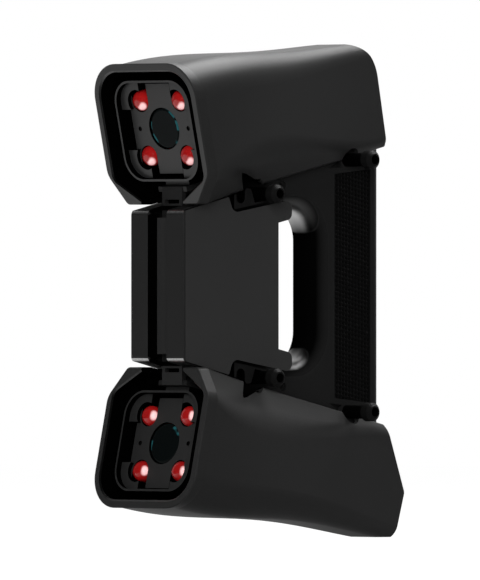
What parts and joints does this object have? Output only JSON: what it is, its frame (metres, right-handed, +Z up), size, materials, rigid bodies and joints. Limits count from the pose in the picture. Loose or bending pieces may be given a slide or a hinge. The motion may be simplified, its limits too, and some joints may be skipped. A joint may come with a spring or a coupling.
{
  "type": "hand-held three-d scanner",
  "caption": "Hand-held stereo laser scanner: camera heads with red lamps on splayed arms, a laser block between them, a finger opening and an upright handle with push buttons.",
  "frame": {"origin": "centre of the bounding box", "axes": "+X to the side that the picture shows, +Y from the nose to the back, +Z up along the handle"},
  "size_m": [0.0868, 0.1999, 0.2918],
  "materials": {
    "arm_plastic": "fine-textured satin black",
    "rim_plastic": "satin dark grey",
    "ring_plastic": "satin dark grey",
    "lens_plate_plastic": "matt dark grey",
    "red_lamp": "clear red, polished",
    "circuit_board": "green solder resist",
    "dark_screw": "black oxide",
    "black_metal": "black anodised",
    "lens_glass": "coated, polished",
    "camera_metal": "dark anodised",
    "chassis_metal": "grey anodised",
    "housing_plastic": "satin dark grey",
    "window_glass": "dark tinted",
    "laser_brass": "turned",
    "clear_glass": "polished",
    "sink_metal": "plain",
    "side_plate_metal": "black anodised, satin",
    "post_metal": "black anodised",
    "fork_plastic": "satin black",
    "handle_plastic": "satin black",
    "steel_screw": "plain",
    "grip_rubber": "dimpled",
    "chip_plastic": "matt black",
    "panel_plastic": "smooth black",
    "scan_button_plastic": "satin red",
    "step_button_plastic": "satin grey",
    "status_lens": "clear green",
    "socket_metal": "plain"
  },
  "bodies": {
    "scanner_body": {"upper_arm_shell": "arm_plastic", "upper_bezel": "rim_plastic", "upper_light_ring": "ring_plastic", "upper_lens_plate": "lens_plate_plastic", "upper_red_lamps": "red_lamp", "upper_lamp_board": "circuit_board", "upper_plate_screws": "dark_screw", "upper_lens_barrel": "black_metal", "upper_lens_glass": "lens_glass", "upper_camera_body": "camera_metal", "upper_sensor_board": "circuit_board", "upper_camera_foot": "chassis_metal", "lower_arm_shell": "arm_plastic", "lower_bezel": "rim_plastic", "lower_light_ring": "ring_plastic", "lower_lens_plate": "lens_plate_plastic", "lower_red_lamps": "red_lamp", "lower_lamp_board": "circuit_board", "lower_plate_screws": "dark_screw", "lower_lens_barrel": "black_metal", "lower_lens_glass": "lens_glass", "lower_camera_body": "camera_metal", "lower_sensor_board": "circuit_board", "lower_camera_foot": "chassis_metal", "chassis_beam": "chassis_metal", "laser_housing": "housing_plastic", "laser_window": "window_glass", "laser_modules": "laser_brass", "laser_lenses": "clear_glass", "laser_heat_sink": "sink_metal", "right_side_plate": "side_plate_metal", "right_posts": "post_metal", "right_forks": "fork_plastic", "left_side_plate": "side_plate_metal", "left_posts": "post_metal", "left_forks": "fork_plastic", "handle_right_shell": "handle_plastic", "handle_left_shell": "handle_plastic", "handle_screws": "steel_screw", "right_grip_panel": "grip_rubber", "left_grip_panel": "grip_rubber", "main_board": "circuit_board", "processor_chip": "chip_plastic", "heat_spreader": "sink_metal", "control_panel": "panel_plastic", "status_light": "status_lens", "button_board": "circuit_board", "inlet_socket": "socket_metal"},
    "scan_button": {"scan_button": "scan_button_plastic"},
    "plus_button": {"plus_button": "step_button_plastic"},
    "minus_button": {"minus_button": "step_button_plastic"}
  },
  "joints": [
    {"name": "scan_button_press", "type": "slide", "parent": "scanner_body", "child": "scan_button", "axis": [0, -1, 0], "range_m": [0, 0.001], "stiffness_N_per_m": 300},
    {"name": "plus_button_press", "type": "slide", "parent": "scanner_body", "child": "plus_button", "axis": [0, -1, 0], "range_m": [0, 0.001], "stiffness_N_per_m": 300},
    {"name": "minus_button_press", "type": "slide", "parent": "scanner_body", "child": "minus_button", "axis": [0, -1, 0], "range_m": [0, 0.001], "stiffness_N_per_m": 300}
  ]
}
